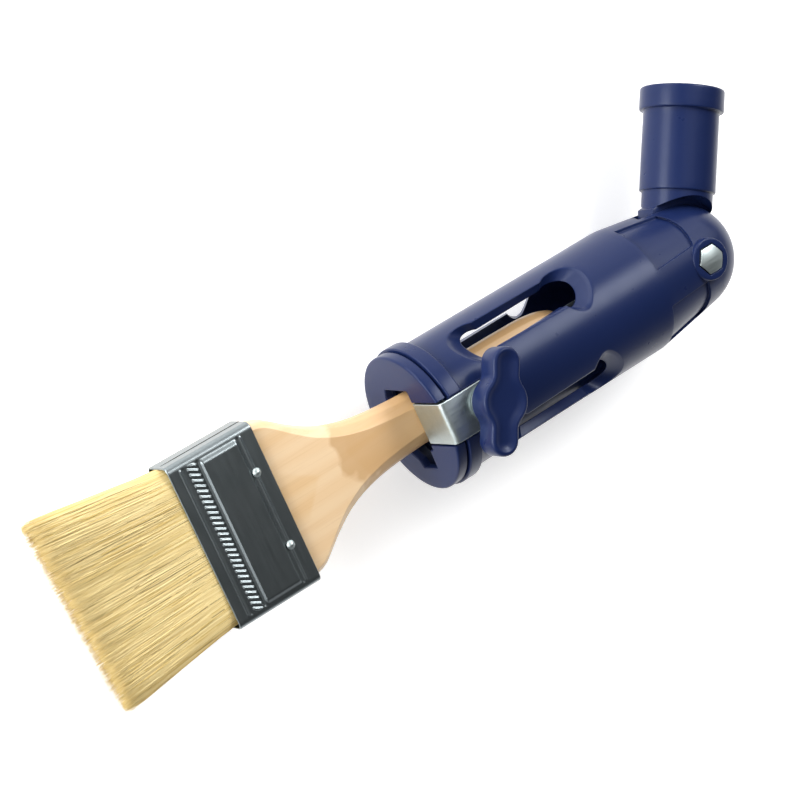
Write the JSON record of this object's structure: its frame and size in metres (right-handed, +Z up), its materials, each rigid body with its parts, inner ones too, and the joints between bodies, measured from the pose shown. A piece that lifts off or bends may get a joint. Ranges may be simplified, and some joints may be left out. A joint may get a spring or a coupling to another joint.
{
  "type": "paint brush extender",
  "caption": "Jointed pole adapter with a slotted barrel and screw clamp holding a flat wooden-handled paint brush; its threaded pole socket tilts on a bolt.",
  "frame": {"origin": "On the surface the tool lies on, under the middle of its box.", "axes": "+X runs back along the barrel from the brush to the pole socket; +Z is up, the side with the clamp knob and the hinge bolt head; +Y is the side the pole socket bends towards."},
  "size_m": [0.3288, 0.099, 0.0763],
  "materials": {
    "blue_plastic": "satin moulded navy-blue plastic with a fine mould texture",
    "zinc_steel": "bright zinc-plated steel",
    "ferrule_steel": "dark gunmetal-tone pressed steel sheet",
    "pine_wood": "sanded light pine with a thin clear lacquer",
    "bristle": "natural pale cream hog bristle",
    "brush_resin": "set epoxy that holds the bristle roots"
  },
  "bodies": {
    "holder": {"barrel": "blue_plastic", "front_cap": "blue_plastic", "clamp_plate": "zinc_steel", "clamp_nut": "zinc_steel", "hinge_bolt": "zinc_steel"},
    "clamp_slider": {"clamp_washer": "zinc_steel"},
    "clamp_knob": {"clamp_knob": "blue_plastic", "clamp_screw": "zinc_steel"},
    "socket": {"pole_socket": "blue_plastic"},
    "hinge_slider": {"hinge_washer": "zinc_steel"},
    "hinge_knob": {"hinge_knob": "blue_plastic", "hinge_nut": "zinc_steel"},
    "brush": {"brush_handle": "pine_wood", "ferrule": "ferrule_steel", "resin_plug": "brush_resin", "spacer_plug": "pine_wood", "bristles_front": "bristle", "bristles_back": "bristle", "ferrule_nail_1": "zinc_steel", "ferrule_nail_2": "zinc_steel", "ferrule_nail_3": "zinc_steel", "ferrule_nail_4": "zinc_steel"}
  },
  "joints": [
    {"name": "socket_tilt", "type": "hinge", "parent": "holder", "child": "socket", "pos_m": [0.11548, -0.01671, 0.0353], "axis": [0, 0, 1], "range_deg": [-134.8, 17.2]},
    {"name": "clamp_travel", "type": "slide", "parent": "holder", "child": "clamp_slider", "axis": [0, 0, 1], "range_m": [0, 0.0081]},
    {"name": "clamp_spin", "type": "hinge", "parent": "clamp_slider", "child": "clamp_knob", "pos_m": [-0.00032, -0.01671, 0.0713], "axis": [0, 0, 1], "range_deg": [0, 2880]},
    {"name": "hinge_knob_travel", "type": "slide", "parent": "holder", "child": "hinge_slider", "axis": [0, 0, -1], "range_m": [0, 0.0041]},
    {"name": "hinge_knob_spin", "type": "hinge", "parent": "hinge_slider", "child": "hinge_knob", "pos_m": [0.11548, -0.01671, 0.0053], "axis": [0, 0, -1], "range_deg": [0, 1440]},
    {"name": "brush_slide", "type": "slide", "parent": "holder", "child": "brush", "axis": [-0.9999, 0.0105, 0], "range_m": [0, 0.085]}
  ],
  "couplings": [
    {"joint": "clamp_travel", "follows": "clamp_spin", "m_per_rad": 0.00015915},
    {"joint": "hinge_knob_travel", "follows": "hinge_knob_spin", "m_per_rad": 0.00015915}
  ]
}
